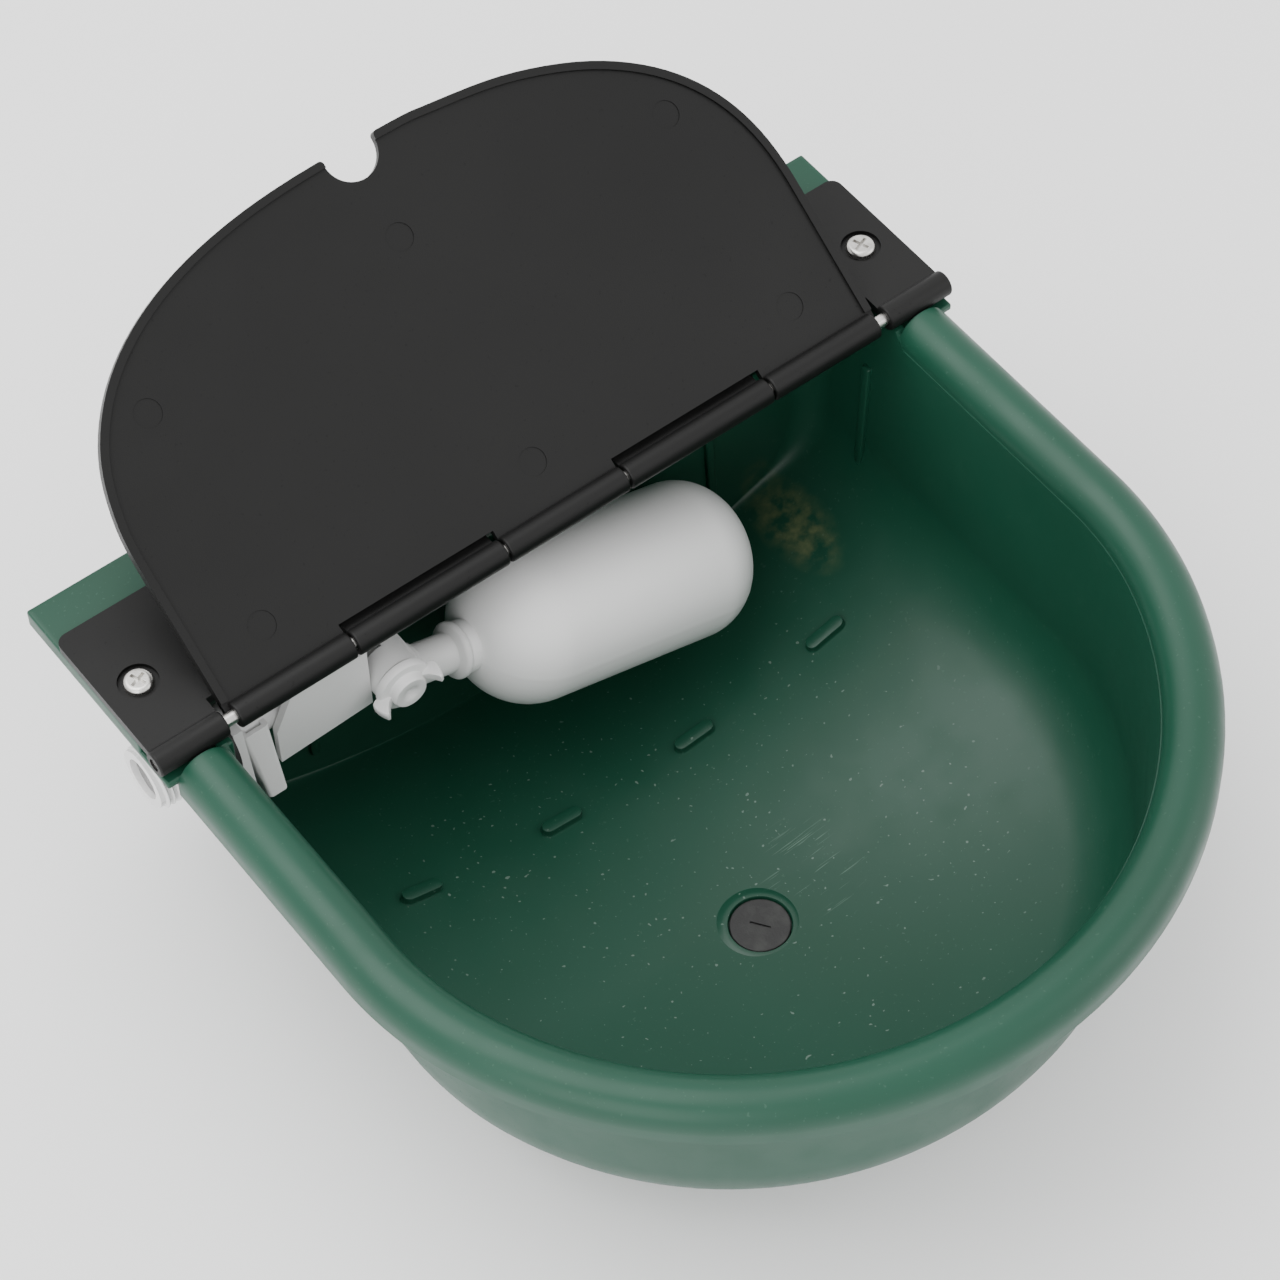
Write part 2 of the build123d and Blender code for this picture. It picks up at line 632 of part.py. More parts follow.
def make_drain_plug():
    """The black rubber plug with a slit across its head."""
    head_low = bed_z - drain_head_t
    plug = rod_z(head_low, plug_top, 0, drain_y, drain_head_r - 0.35)
    plug = plug.fillet(0.5, [top_circle(plug)])
    plug += rod_z(0.6, head_low, 0, drain_y, drain_r - 0.35)
    slit = block(-3.2, 3.2, -0.35, 0.35, plug_top - 0.7, plug_top + 3)
    return plug - Pos(0, drain_y, 0) * Rot(0, 0, -55) * slit


def save(node, shape):
    """Write one node's solids to its own file."""
    export_step(shape, f"parts/{node}.step")
    print(node, len(shape.solids()), round(shape.volume))


parts = {
    "trough_shell": make_shell,
    "hinge_plate": make_hinge_plate,
    "hinge_pin": make_hinge_pin,
    "plate_screws": make_plate_screws,
    "cover": make_cover,
    "valve_body": make_valve_body,
    "inlet_gasket": make_inlet_gasket,
    "inlet_locknut": make_inlet_locknut,
    "nozzle_insert": make_nozzle_insert,
    "piston": make_piston,
    "piston_seal": make_piston_seal,
    "lever_pin": make_lever_pin,
    "pin_clip": make_pin_clip,
    "float_lever": make_float_lever,
    "arm_elbow": make_arm_elbow,
    "wing_screw": make_wing_screw,
    "clamp_nut": make_clamp_nut,
    "float_stem": make_float_stem,
    "float_bottle": make_float_bottle,
    "drain_plug": make_drain_plug,
}

os.makedirs("parts", exist_ok=True)
for name, make in parts.items():
    save(name, make())
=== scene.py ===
import json
import logging
from dataclasses import dataclass
from enum import Enum
from math import atan2, cos, hypot, pi, radians, sin, sqrt, tan
from typing import Callable, Sequence

import bmesh
import bpy
from mathutils import Matrix, Vector


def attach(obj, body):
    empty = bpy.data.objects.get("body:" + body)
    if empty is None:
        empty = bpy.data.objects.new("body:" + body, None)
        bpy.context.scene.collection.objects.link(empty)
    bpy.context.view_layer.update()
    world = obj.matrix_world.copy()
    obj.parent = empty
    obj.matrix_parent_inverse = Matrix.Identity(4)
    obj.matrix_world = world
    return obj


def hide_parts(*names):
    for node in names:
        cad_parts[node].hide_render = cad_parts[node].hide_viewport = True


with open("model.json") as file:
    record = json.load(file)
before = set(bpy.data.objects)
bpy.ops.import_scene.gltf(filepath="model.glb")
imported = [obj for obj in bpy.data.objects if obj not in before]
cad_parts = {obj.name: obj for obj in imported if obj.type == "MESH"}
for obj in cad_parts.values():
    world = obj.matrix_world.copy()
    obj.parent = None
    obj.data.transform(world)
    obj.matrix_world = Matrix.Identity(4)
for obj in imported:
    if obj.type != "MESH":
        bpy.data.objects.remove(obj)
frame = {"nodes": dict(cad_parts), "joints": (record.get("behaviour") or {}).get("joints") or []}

MM = 0.001
LOG = logging.getLogger("trough")
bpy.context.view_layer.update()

Point = tuple[float, float, float]
Loop = list[Point]


def joint_place(name: str) -> Vector:
    """Where a hinge of the frame stands, in metres."""
    return Vector(next(j["pos_m"] for j in frame["joints"] if j["name"] == name))


HINGE = joint_place("cover_hinge")
HINGE_Y = HINGE.y / MM
HINGE_Z = HINGE.z / MM
INLET_BACK = 10.5   # the inlet's axis behind the hinge's
INLET_DROP = 19.5   # and below it
INLET_Y = HINGE_Y + INLET_BACK
INLET_Z = HINGE_Z - INLET_DROP
DRAIN_Y = HINGE_Y - 90.0
AXIS_R = 0.001      # a profile's end on its axis, so that the end closes


class Blend(Enum):
    """How two colours are put together."""

    MIX = "MIX"


class Edge(Enum):
    """How round the edges of a moulding are, in millimetres."""

    CRISP = 0.2
    SOFT = 0.45
    ROUND = 0.8


class Wire:
    """A shader socket that adds up, multiplies and compares like a number."""

    def __init__(self, shader: "Shader", socket: bpy.types.NodeSocket) -> None:
        """Keep the shader and its socket.

        Args:
            shader: the node tree that the socket belongs to.
            socket: the output socket to wrap.
        """
        self.shader = shader
        self.socket = socket

    def _math(self, operation: str, first: object, second: object) -> "Wire":
        """Add one Math node.

        Args:
            operation: the node's operation.
            first: its first value or link.
            second: its second value or link.

        Returns:
            The node's result.
        """
        return self.shader.node("ShaderNodeMath", {"operation": operation}, {0: first, 1: second})

    def __add__(self, other: object) -> "Wire":
        """Sum."""
        return self._math("ADD", self, other)

    def __radd__(self, other: object) -> "Wire":
        """Sum with a number first."""
        return self._math("ADD", other, self)

    def __sub__(self, other: object) -> "Wire":
        """Difference."""
        return self._math("SUBTRACT", self, other)

    def __rsub__(self, other: object) -> "Wire":
        """Difference with a number first."""
        return self._math("SUBTRACT", other, self)

    def __mul__(self, other: object) -> "Wire":
        """Product."""
        return self._math("MULTIPLY", self, other)

    def __rmul__(self, other: object) -> "Wire":
        """Product with a number first."""
        return self._math("MULTIPLY", other, self)


class Shader:
    """One material and the nodes behind its surface."""

    def __init__(self, name: str) -> None:
        """Start an empty material with a surface shader.

        Args:
            name: the material's name.
        """
        self.material = bpy.data.materials.new(name)
        self.material.use_nodes = True
        self.tree = self.material.node_tree
        self.surface = self.tree.nodes["Principled BSDF"]

    def node(self, kind: str, settings: dict, sockets: dict, output: int | str = 0) -> Wire:
        """Add a node.

        Args:
            kind: the node's type.
            settings: its settings, which are set before its sockets.
            sockets: values or links by socket name or number.
            output: which output to return.

        Returns:
            The chosen output.
        """
        made = self.tree.nodes.new(kind)
        for key, value in settings.items():
            if key == "stops":
                self._stops(made.color_ramp, value)
            else:
                setattr(made, key, value)
        for key, value in sockets.items():
            self._feed(made.inputs[key], value)
        return Wire(self, made.outputs[output])

    def _stops(self, ramp: bpy.types.ColorRamp, stops: Sequence[tuple[float, float]]) -> None:
        """Give a ramp its grey stops.

        Args:
            ramp: the ramp to fill.
            stops: position and grey level of each stop.
        """
        for element, (place, level) in zip(ramp.elements, stops):
            element.position = place
            element.color = (level, level, level, 1.0)

    def _feed(self, socket: bpy.types.NodeSocket, value: object) -> None:
        """Link or set a socket.

        Args:
            socket: the input to feed.
            value: a wire, a number or a tuple.
        """
        if isinstance(value, Wire):
            self.tree.links.new(value.socket, socket)
        else:
            socket.default_value = value

    def place(self) -> Wire:
        """The point on the object, in metres."""
        return self.node("ShaderNodeTexCoord", {}, {}, "Object")

    def noise(self, scale: float, detail: float = 3.0) -> Wire:
        """Soft noise from 0 to 1."""
        return self.node("ShaderNodeTexNoise", {}, {"Vector": self.place(), "Scale": scale, "Detail": detail})

    def ramp(self, value: Wire, low: float, high: float) -> Wire:
        """A value stretched so that low becomes 0 and high becomes 1."""
        return self.node("ShaderNodeValToRGB", {"stops": ((low, 0.0), (high, 1.0))}, {0: value})

    def blend(self, mode: Blend, share: object, first: object, second: object) -> Wire:
        """Put two colours together.

        Args:
            mode: how they are put together.
            share: how much of the second colour.
            first: the first colour.
            second: the second colour.

        Returns:
            The mixed colour.
        """
        settings = {"data_type": "RGBA", "blend_type": mode.value}
        return self.node("ShaderNodeMix", settings, {0: share, 6: first, 7: second}, 2)

    def patch(self, centre: Point, reach: Point, soft: float = 0.6) -> Wire:
        """A rounded patch that is 1 at its middle and 0 outside.

        Args:
            centre: the patch's middle, in millimetres.
            reach: how far it goes each way, in millimetres.
            soft: the share of its reach over which it fades.

        Returns:
            The patch's mask.
        """
        middle = tuple(c * MM for c in centre)
        share = tuple(1 / (r * MM) for r in reach)
        away = self.node("ShaderNodeVectorMath", {"operation": "SUBTRACT"}, {0: self.place(), 1: middle})
        scaled = self.node("ShaderNodeVectorMath", {"operation": "MULTIPLY"}, {0: away, 1: share})
        far = self.node("ShaderNodeVectorMath", {"operation": "LENGTH"}, {0: scaled}, 1)
        return 1.0 - self.ramp(far, 1.0 - soft, 1.0)

    def streaks(self, scale: Point, low: float, high: float) -> Wire:
        """Thin drawn-out marks from stretched noise.

        Args:
            scale: how fine the noise is along each axis, per metre.
            low: the noise below which nothing shows.
            high: the noise above which a mark is full.

        Returns:
            The marks' mask.
        """
        drawn = self.node("ShaderNodeVectorMath", {"operation": "MULTIPLY"}, {0: self.place(), 1: scale})
        grain = self.node("ShaderNodeTexNoise", {}, {"Vector": drawn, "Scale": 1.0, "Detail": 2.0})
        return self.ramp(grain, low, high)

    def set(self, name: str, value: object) -> None:
        """Feed one socket of the surface."""
        self._feed(self.surface.inputs[name], value)

    def bump(self, height: Wire, strength: float, distance: float) -> None:
        """Raise the surface by a height, through its normal.

        Args:
            height: the height from 0 to 1.
            strength: how strongly it shows.
            distance: the full height in metres.
        """
        sockets = {"Strength": strength, "Distance": distance, "Height": height}
        self.set("Normal", self.node("ShaderNodeBump", {}, sockets))


Colour = tuple[float, float, float, float]


@dataclass(frozen=True)
class Plastic:
    """A moulded plastic with flow marks, specks and fine grain."""

    name: str
    colour: Colour
    deep: Colour
    speck: Colour
    roughness: float
    grain: float
    speck_share: float
    coat: float = 0.0
    gloss: float = 0.5

    def build(self) -> bpy.types.Material:
        """Make the material.

        Returns:
            The finished material.
        """
        shader = Shader(self.name)
        cloud = shader.ramp(shader.noise(9.0, 4.0), 0.35, 0.68)
        base = shader.blend(Blend.MIX, cloud, self.colour, self.deep)
        dust = shader.ramp(shader.noise(900.0, 1.0), 0.70, 0.76)
        skin = shader.blend(Blend.MIX, dust * self.speck_share, base, self.speck)
        scuff = shader.ramp(shader.noise(60.0, 6.0), 0.42, 0.75)
        # painted light and real marks, each mask with its colour
        wear_and_light_marks = self.wear_and_painted_light(shader)
        if wear_and_light_marks:
            for mask, colour in wear_and_light_marks:
                skin = shader.blend(Blend.MIX, mask, skin, colour)
            # the first mask, the painted light patch, also raises the roughness there
            scuff = scuff + wear_and_light_marks[0][0]
        shader.set("Base Color", skin)
        shader.set("Roughness", self.roughness + scuff * 0.10 + dust * 0.15)
        fine = shader.noise(2600.0, 2.0)
        slow = shader.noise(28.0, 2.0)
        shader.bump(fine * self.grain + slow * 0.5, 0.25, 0.00012)
        shader.set("IOR", 1.49)
        shader.set("Coat Weight", self.coat)
        shader.set("Coat Roughness", 0.12)
        shader.set("Specular IOR Level", self.gloss)
        return shader.material

    def wear_and_painted_light(self, shader: Shader) -> list[tuple[Wire, "Colour"]]:
        """Marks and painted light that only some mouldings carry; a plain one has none."""
        return []


@dataclass(frozen=True)
class WornGreenWithPaintedLight(Plastic):
    """The bowl's green, with a painted patch of light at the rear and scratches beside the drain."""

    def wear_and_painted_light(self, shader: Shader) -> list[tuple[Wire, "Colour"]]:
        """The painted light patch, the scratches and the dust, each with its colour.

        Args:
            shader: the material to add them to.

        Returns:
            Masks and colours, in the order that they lie on the surface.
        """
        # painted light: a lighter tan patch on the rear wall and floor right of the bottle, where light falls
        painted_light_patch = shader.patch((92.0, HINGE_Y + 11.0, 30.0), (11.0, 24.0, 20.0))
        painted_light_patch = painted_light_patch * shader.ramp(shader.noise(210.0, 5.0), 0.38, 0.72) * 0.34
        near_drain = shader.patch((24.0, HINGE_Y - 84.0, 12.0), (17.0, 20.0, 8.0), 0.5)
        scratch = near_drain * shader.streaks((55.0, 1500.0, 200.0), 0.64, 0.68) * 0.30
        fallen = shader.patch((0.0, HINGE_Y - 70.0, 20.0), (112.0, 120.0, 24.0), 0.3)
        lint = fallen * shader.ramp(shader.noise(760.0, 0.0), 0.80, 0.83) * 0.30
        # the first colour is the painted light patch's; the scratches and the dust are real marks
        return [(painted_light_patch, (0.30, 0.27, 0.11, 1.0)), (scratch, (0.20, 0.30, 0.24, 1.0)),
                (lint, (0.30, 0.38, 0.33, 1.0))]


@dataclass(frozen=True)
class DrawnSteel:
    """Bright steel with fine lines and slight dulling."""

    name: str = "stainless"
    roughness: float = 0.24

    def build(self) -> bpy.types.Material:
        """Make the material.

        Returns:
            The finished material.
        """
        shader = Shader(self.name)
        dull = shader.ramp(shader.noise(350.0, 4.0), 0.35, 0.7)
        bright: Colour = (0.74, 0.73, 0.70, 1.0)
        shaded: Colour = (0.50, 0.49, 0.47, 1.0)
        shader.set("Base Color", shader.blend(Blend.MIX, dull, bright, shaded))
        shader.set("Metallic", 1.0)
        shader.set("Roughness", self.roughness + dull * 0.14)
        shader.bump(shader.noise(4200.0, 2.0), 0.15, 0.00005)
        return shader.material


@dataclass(frozen=True)
class Rubber:
    """Dull black rubber, greyed with dust."""

    name: str = "rubber_black"

    def build(self) -> bpy.types.Material:
        """Make the material.

        Returns:
            The finished material.
        """
        shader = Shader(self.name)
        dust = shader.ramp(shader.noise(240.0, 5.0), 0.45, 0.72)
        black: Colour = (0.016, 0.016, 0.016, 1.0)
        grey: Colour = (0.045, 0.046, 0.044, 1.0)
        shader.set("Base Color", shader.blend(Blend.MIX, dust, black, grey))
        shader.set("Roughness", 0.62 + dust * 0.2)
        shader.bump(shader.noise(1500.0, 3.0), 0.5, 0.0002)
        return shader.material


class Finishes:
    """Every material of the trough, by the record's slot names."""

    def __init__(self) -> None:
        """Build each finish once."""
        makers = (
            WornGreenWithPaintedLight("moulded_green", (0.007, 0.056, 0.032, 1), (0.006, 0.048, 0.027, 1),
                      (0.07, 0.14, 0.10, 1), 0.36, 0.30, 0.25, 0.0, 0.36),
            Plastic("cover_black", (0.006, 0.006, 0.0058, 1), (0.004, 0.004, 0.0039, 1),
                    (0.003, 0.003, 0.003, 1), 0.42, 1.00, 0.80, 0.0, 0.24),
            Plastic("valve_white", (0.68, 0.68, 0.675, 1), (0.64, 0.64, 0.635, 1),
                    (0.45, 0.45, 0.44, 1), 0.40, 0.35, 0.10),
            Plastic("float_white", (0.76, 0.76, 0.755, 1), (0.73, 0.73, 0.725, 1),
                    (0.52, 0.52, 0.51, 1), 0.42, 0.20, 0.08),
            DrawnSteel(),
            Rubber(),
        )
        self.by_slot = {maker.name: maker.build() for maker in makers}

    def dress(self, piece: bpy.types.Object, slot: str) -> None:
        """Give a piece its material.

        Args:
            piece: the object to dress.
            slot: the record's slot name.
        """
        piece.data.materials.clear()
        piece.data.materials.append(self.by_slot[slot])


def to_object(name: str, form: bmesh.types.BMesh, smooth_angle: float = 35.0) -> bpy.types.Object:
    """Turn a bmesh into a linked object with smooth shading up to an angle.

    Args:
        name: the piece's name.
        form: the bmesh, which is freed.
        smooth_angle: edges sharper than this many degrees stay sharp.

    Returns:
        The new object.
    """
    bmesh.ops.recalc_face_normals(form, faces=form.faces)
    mesh = bpy.data.meshes.new(name)
    form.to_mesh(mesh)
    form.free()
    piece = bpy.data.objects.new(name, mesh)
    bpy.context.scene.collection.objects.link(piece)
    mesh.shade_smooth()
    mesh.set_sharp_from_angle(angle=radians(smooth_angle))
    return piece


def bake_modifiers(piece: bpy.types.Object) -> bpy.types.Object:
    """Apply a piece's modifiers to its mesh.

    Args:
        piece: the object with modifiers.

    Returns:
        The same object, with a plain mesh.
    """
    depsgraph = bpy.context.evaluated_depsgraph_get()
    mesh = bpy.data.meshes.new_from_object(piece.evaluated_get(depsgraph))
    piece.modifiers.clear()
    piece.data = mesh
    return piece


def skin_loops(form: bmesh.types.BMesh, loops: Sequence[Loop], closed: bool) -> None:
    """Join rings of equally many points with four-sided faces.

    Args:
        form: the bmesh to add to.
        loops: the rings, in millimetres.
        closed: whether each ring joins its own ends.
    """
    rows = [[form.verts.new(Vector(p) * MM) for p in loop] for loop in loops]
    for first, second in zip(rows, rows[1:]):
        count = len(first)
        for i in range(count if closed else count - 1):
            j = (i + 1) % count
            form.faces.new((first[i], first[j], second[j], second[i]))


def turned(form: bmesh.types.BMesh, profile: Sequence[tuple[float, float]], place: Matrix,
           steps: int) -> None:
    """Turn a profile round an axis.

    Args:
        form: the bmesh to add to.
        profile: radius and height pairs, in millimetres.
        place: takes the axis from +Z to where it belongs, in millimetres.
        steps: how many flats go round.
    """
    loops = []
    for radius, height in profile:
        ring = []
        for i in range(steps):
            turn = 2 * pi * i / steps
            ring.append(tuple(place @ Vector((radius * cos(turn), radius * sin(turn), height))))
        loops.append(ring)
    skin_loops(form, loops, True)


def arc(centre: tuple[float, float], radius: float, start: float, end: float,
        steps: int) -> list[tuple[float, float]]:
    """Points on a circle.

    Args:
        centre: the circle's centre.
        radius: its radius.
        start: the first angle, in degrees.
        end: the last angle, in degrees.
        steps: how many steps lie between them.

    Returns:
        The points, both ends included.
    """
    turns = [radians(start + (end - start) * i / steps) for i in range(steps + 1)]
    return [(centre[0] + radius * cos(t), centre[1] + radius * sin(t)) for t in turns]


def rounded_block(form: bmesh.types.BMesh, low: Sequence[float], high: Sequence[float], edge: float) -> None:
    """Add a box with rounded edges.

    Args:
        form: the bmesh to add to.
        low: the lowest corner, in millimetres.
        high: the highest corner, in millimetres.
        edge: the radius of its edges, in millimetres.
    """
    size = [b - a for a, b in zip(low, high)]
    middle = Vector([(a + b) / 2 for a, b in zip(low, high)]) * MM
    matrix = Matrix.Translation(middle) @ Matrix.Diagonal((*[s * MM for s in size], 1.0))
    made = bmesh.ops.create_cube(form, size=1.0, matrix=matrix)
    edges = list({e for v in made["verts"] for e in v.link_edges})
    bmesh.ops.bevel(form, geom=edges, offset=edge * MM, segments=3, profile=0.5, affect="EDGES")


def softened(node: str, name: str, edge: Edge,
             reshape: Callable[[Vector], Vector] | None = None) -> bpy.types.Object:
    """A new mesh on the form of a CAD node, with its moulded edges rounded.

    Args:
        node: the CAD node.
        name: the new piece's name.
        edge: how round the edges are.
        reshape: moves each point of the copy, or None.

    Returns:
        The new object.
    """
    form = bmesh.new()
    form.from_mesh(frame["nodes"][node].data)
    bmesh.ops.remove_doubles(form, verts=form.verts, dist=0.000002)
    if reshape:
        for vert in form.verts:
            vert.co = reshape(vert.co.copy())
    bmesh.ops.dissolve_limit(form, angle_limit=radians(0.5), verts=form.verts, edges=form.edges)
    for layer in list(form.loops.layers.float_vector.values()):
        form.loops.layers.float_vector.remove(layer)
    piece = to_object(name, form)
    for stale in ("custom_normal", "sharp_face"):
        if stale in piece.data.attributes:
            piece.data.attributes.remove(piece.data.attributes[stale])
    bevel = piece.modifiers.new("edges", "BEVEL")
    bevel.width = edge.value * MM
    bevel.segments = 3
    bevel.limit_method = "ANGLE"
    bevel.angle_limit = radians(32)
    bevel.use_clamp_overlap = True
    bevel.harden_normals = True
    bake_modifiers(piece)
    piece.data.set_sharp_from_angle(angle=radians(40))
    even = piece.modifiers.new("even_shading", "WEIGHTED_NORMAL")
    even.keep_sharp = True
    return bake_modifiers(piece)


def drilled(piece: bpy.types.Object, drill: bmesh.types.BMesh) -> bpy.types.Object:
    """Take closed forms out of a piece.

    Args:
        piece: the object to drill.
        drill: the forms to take out, freed afterwards.

    Returns:
        The same object, with its holes.
    """
    cutter = to_object("drill", drill)
    cut = piece.modifiers.new("holes", "BOOLEAN")
    cut.object = cutter
    cut.solver = "EXACT"
    cut.use_self = True
    bake_modifiers(piece)
    bpy.data.objects.remove(cutter)
    return piece


def settle(piece: bpy.types.Object, body: str, slot: str, nodes: Sequence[str], finishes: Finishes) -> None:
    """Dress a piece and fix it to its body.

    Args:
        piece: the finished object.
        body: the CAD body that it rides on.
        slot: the record's material slot.
        nodes: the CAD nodes that it stands for.
        finishes: the trough's materials.
    """
    finishes.dress(piece, slot)
    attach(piece, body)
    if nodes:
        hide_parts(*nodes)
    LOG.info("%s rides on %s, %d faces", piece.name, body, len(piece.data.polygons))


@dataclass
class Bowl:
    """The green bowl, all in millimetres from the frame's origin."""

    finishes: Finishes
    rim_half: float = 127.4
    rim_r: float = 8.7
    side_r: float = 107.4
    front_drop: float = 7.44
    wall: float = 3.0
    draft: float = 3.0
    dish_r: float = 262.0
    corner_r: float = 30.0
    back_corner: float = 9.0
    crease_r: float = 1.2
    rim_drop: float = 13.0
    foot_r: float = 54.0
    wall_plate_half: float = 117.0
    drain_cut_r: float = 9.7
    arc_steps: int = 12
    front_steps: int = 56
    back_steps: int = 30

    def __post_init__(self) -> None:
        """Work out the places that hang on the hinge."""
        self.turn_y = HINGE_Y - 83.0
        self.front_y = self.turn_y + self.front_drop
        self.side_x = self.rim_half - self.side_r
        self.front_r = self.side_r + hypot(self.side_x, self.front_drop)
        self.floor_z = HINGE_Z - 107.0
        self.back_y = HINGE_Y + 34.5
        self.shelf_y = HINGE_Y - 4.7

    def mouth(self, offset: float, back: float) -> list[tuple[float, float]]:
        """The open outline from the right back round to the left back.

        Args:
            offset: how far out from the roll's middle line.
            back: where both ends lie.

        Returns:
            The outline's points.
        """
        half = self.rim_half + offset
        turn = 180 / pi * atan2(self.front_drop, self.side_x)
        side = self.side_r + offset
        right = [(half, back + (self.turn_y - back) * i / self.back_steps) for i in range(self.back_steps)]
        points = right + arc((self.side_x, self.turn_y), side, 0, -turn, self.arc_steps)[:-1]
        front = arc((0, self.front_y), self.front_r + offset, -turn, turn - 180, self.front_steps)
        points += front[:-1]
        points += arc((-self.side_x, self.turn_y), side, turn - 180, -180, self.arc_steps)[:-1]
        return points + [(-x, y) for x, y in reversed(right + [(half, self.turn_y)])]

    def ring(self, offset: float, back: float, corner: float) -> list[tuple[float, float]]:
        """The closed outline with rounded back corners.

        Args:
            offset: how far out from the roll's middle line.
            back: where the back wall lies.
            corner: the radius of both back corners.

        Returns:
            The outline's points.
        """
        half = self.rim_half + offset
        inner = half - corner
        points = self.mouth(offset, back - corner)
        points += arc((-inner, back - corner), corner, 180, 90, self.arc_steps)[1:]
        span = [(-inner + 2 * inner * i / self.back_steps, back) for i in range(1, self.back_steps)]
        points += span
        return points + arc((inner, back - corner), corner, 90, 0, self.arc_steps)[:-1]

    def profile(self, skin: float) -> list[tuple[float, float]]:
        """How far the wall has come in at each height, as (inset, height) pairs.

        Args:
            skin: 0 for the inside, or the wall's thickness for the outside.

        Returns:
            The pairs, from the top down.
        """
        lean = radians(self.draft)
        middle = self.rim_half - self.rim_r
        dish_z = self.floor_z + self.dish_r
        across = middle - self.corner_r / cos(lean)
        down = 0.0
        for _ in range(40):
            down = dish_z - sqrt((self.dish_r - self.corner_r) ** 2 - across ** 2)
            across = middle - self.corner_r / cos(lean) - (HINGE_Z - down) * tan(lean)
        small = self.corner_r + skin
        big = self.dish_r + skin
        floor_turn = atan2(across, dish_z - down)
        pairs = []
        bend_top = down - small * sin(lean)
        wall_rows = 10
        for i in range(wall_rows):
            height = HINGE_Z + (bend_top - HINGE_Z) * i / wall_rows
            pairs.append(((HINGE_Z - height) * tan(lean) - skin, height))
        bend_rows = 22
        for i in range(bend_rows + 1):
            turn = lean + (pi / 2 - floor_turn - lean) * i / bend_rows
            pairs.append((middle - across - small * cos(turn), down - small * sin(turn)))
        dish_rows = 16
        for i in range(1, dish_rows + 1):
            turn = floor_turn * (1 - 0.7 * i / dish_rows)
            pairs.append((middle - big * sin(turn), dish_z - big * cos(turn)))
        return pairs

    def corner_at(self, height: float) -> float:
        """The upright corners' radius, which tightens to a crease at the floor.

        Args:
            height: the height above the foot, in millimetres.

        Returns:
            The radius.
        """
        low, high = self.floor_z + 4.0, self.floor_z + 35.0
        share = min(1.0, max(0.0, (height - low) / (high - low)))
        return self.crease_r + (self.back_corner - self.crease_r) * share

    def skin(self, thickness: float) -> list[Loop]:
        """Every ring of the bowl's inside or outside, top to bottom.

        Args:
            thickness: 0 for the inside, or the wall's thickness for the outside.

        Returns:
            The rings.
        """
        loops = []
        top = HINGE_Z - self.rim_r
        under_shelf = HINGE_Z - 4.0
        for inset, height in self.profile(thickness):
            back = self.back_y + thickness - (HINGE_Z - height) * tan(radians(self.draft))
            corner = self.corner_at(height) + thickness
            outline = self.ring(-self.rim_r - inset, back, corner)
            loops.append([(x, y, min(height, under_shelf if y > self.shelf_y else top)) for x, y in outline])
        last = loops[-1]
        half = max(x for x, _, _ in last)
        big = self.dish_r + thickness
        spine_front = min(y for _, y, _ in last) + half
        for i in range(1, 9):
            share = 1 - i / 8
            height = self.floor_z + self.dish_r - sqrt(big ** 2 - (share * half) ** 2)
            ring = []
            for x, y, _ in last:
                drawn_in = y if y > spine_front else spine_front + share * (y - spine_front)
                ring.append((x * share, drawn_in, height))
            loops.append(ring)
        return loops

    def build_basin(self) -> bpy.types.Object:
        """The basin's wall and dished floor, inside and out.

        Returns:
            The basin.
        """
        form = bmesh.new()
        inside = self.skin(0.0)
        outside = self.skin(self.wall)
        skin_loops(form, list(reversed(inside)) + outside, True)
        bmesh.ops.remove_doubles(form, verts=form.verts, dist=0.00001)
        bmesh.ops.dissolve_degenerate(form, edges=form.edges, dist=0.000001)
        basin = to_object("basin", form, 50)
        drill = bmesh.new()
        place = Matrix.Translation((0, DRAIN_Y, 0))
        cut_r, below, above = self.drain_cut_r, -5.0, 20.0
        turned(drill, ((AXIS_R, below), (cut_r, below), (cut_r, above), (AXIS_R, above)), place, 72)
        bmesh.ops.remove_doubles(drill, verts=drill.verts, dist=0.000005)
        drilled(basin, drill)
        basin.data.set_sharp_from_angle(angle=radians(50))
        return basin

    def build_roll(self) -> bpy.types.Object:
        """The half-round roll with its crisp lower lip and hollow underside.

        Returns:
            The roll.
        """
        lip = 0.5
        section = [(-self.rim_r * cos(radians(a)), self.rim_r * (sin(radians(a)) - 1))
                   for a in range(0, 181, 9)]
        section += [(self.rim_r, -self.rim_drop + lip), (self.rim_r - lip, -self.rim_drop),
                    (5.7, -self.rim_drop), (5.7, -6.0), (-5.7, -6.0), (-5.7, -self.rim_drop),
                    (-self.rim_r, -self.rim_drop)]
        section.append(section[0])
        form = bmesh.new()
        loops = [[(x, y, HINGE_Z + rise) for x, y in self.mouth(offset, self.shelf_y)]
                 for offset, rise in section]
        skin_loops(form, loops, False)
        bmesh.ops.remove_doubles(form, verts=form.verts, dist=0.00001)
        bmesh.ops.holes_fill(form, edges=[e for e in form.edges if e.is_boundary], sides=0)
        return to_object("rim_roll", form, 30)

